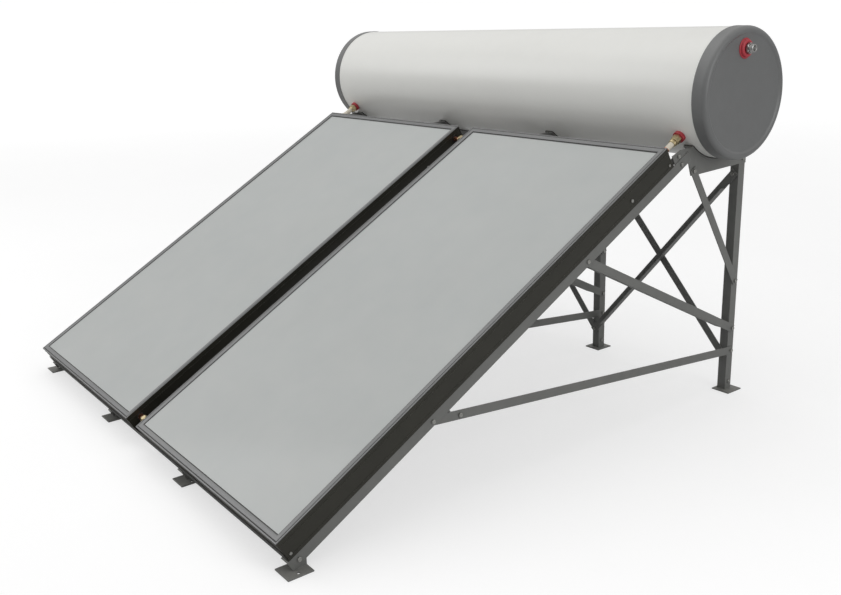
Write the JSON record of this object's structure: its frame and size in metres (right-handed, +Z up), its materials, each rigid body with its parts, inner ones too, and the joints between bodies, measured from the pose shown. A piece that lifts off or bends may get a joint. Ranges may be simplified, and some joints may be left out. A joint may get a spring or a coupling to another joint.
{
  "type": "thermosiphon solar water heater",
  "caption": "Thermosiphon solar water heater with flat-plate collectors on a sloping grey steel stand and an insulated horizontal tank behind their upper edge.",
  "frame": {"origin": "on the floor, at the middle of the bounding box's plan", "axes": "+X along the tank to the viewer's right when facing the collectors, +Y to the rear where the tank is, +Z up"},
  "size_m": [2.326, 2.064, 1.376],
  "materials": {
    "stand_grey": "satin",
    "stand_dark": "satin",
    "zinc_steel": "satin",
    "black_rubber": "matte",
    "casing_bronze": "satin",
    "trim_grey": "satin",
    "solar_glass": "frosted",
    "mill_aluminium": "satin",
    "mineral_wool": "matte",
    "selective_blue": "satin",
    "copper": "polished",
    "brass": "satin",
    "cream_pipe": "matte",
    "shell_white": "gloss",
    "cap_grey": "satin",
    "foam": "matte",
    "enamelled_steel": "gloss",
    "threaded_steel": "satin",
    "red_silicone": "matte",
    "magnesium": "matte"
  },
  "bodies": {
    "root": {"anode_rod": "magnesium", "brace_gussets": "stand_grey", "breather_plugs": "zinc_steel", "cold_inlet_nipple": "threaded_steel", "cold_return_pipe": "cream_pipe", "collector_ports": "copper", "corner_screws": "zinc_steel", "cradle_struts": "stand_grey", "end_cap_left": "cap_grey", "end_cap_right": "cap_grey", "falling_rear_braces": "stand_grey", "foam_insulation": "foam", "frame_bolts": "zinc_steel", "frame_nuts": "zinc_steel", "front_foot_plates": "stand_grey", "header_couplings": "brass", "header_grommets": "black_rubber", "hot_outlet_nipple": "threaded_steel", "hot_riser_pipe": "cream_pipe", "inner_barrel": "enamelled_steel", "inner_tank_heads": "enamelled_steel", "left_absorber": "selective_blue", "left_back_sheet": "mill_aluminium", "left_casing_profiles": "casing_bronze", "left_gasket": "black_rubber", "left_glass": "solar_glass", "left_glazing_trim": "trim_grey", "left_headers": "copper", "left_insulation": "mineral_wool", "left_risers": "copper", "lower_cross_rail": "stand_dark", "lower_side_braces": "stand_grey", "outlet_seals": "red_silicone", "port_seals": "red_silicone", "rail_1": "stand_grey", "rail_2": "stand_grey", "rail_3": "stand_grey", "rail_4": "stand_grey", "rear_foot_plates": "stand_grey", "rear_leg_1": "stand_grey", "rear_leg_2": "stand_grey", "rear_leg_3": "stand_grey", "rear_leg_4": "stand_grey", "right_absorber": "selective_blue", "right_back_sheet": "mill_aluminium", "right_casing_profiles": "casing_bronze", "right_gasket": "black_rubber", "right_glass": "solar_glass", "right_glazing_trim": "trim_grey", "right_headers": "copper", "right_insulation": "mineral_wool", "right_risers": "copper", "rising_rear_braces": "stand_grey", "saddle_pads": "black_rubber", "spacer_washers": "zinc_steel", "tank_cradles": "stand_grey", "tank_shell": "shell_white", "tank_unions": "brass", "upper_cross_rail": "stand_dark", "upper_side_braces": "stand_grey"}
  },
  "joints": []
}
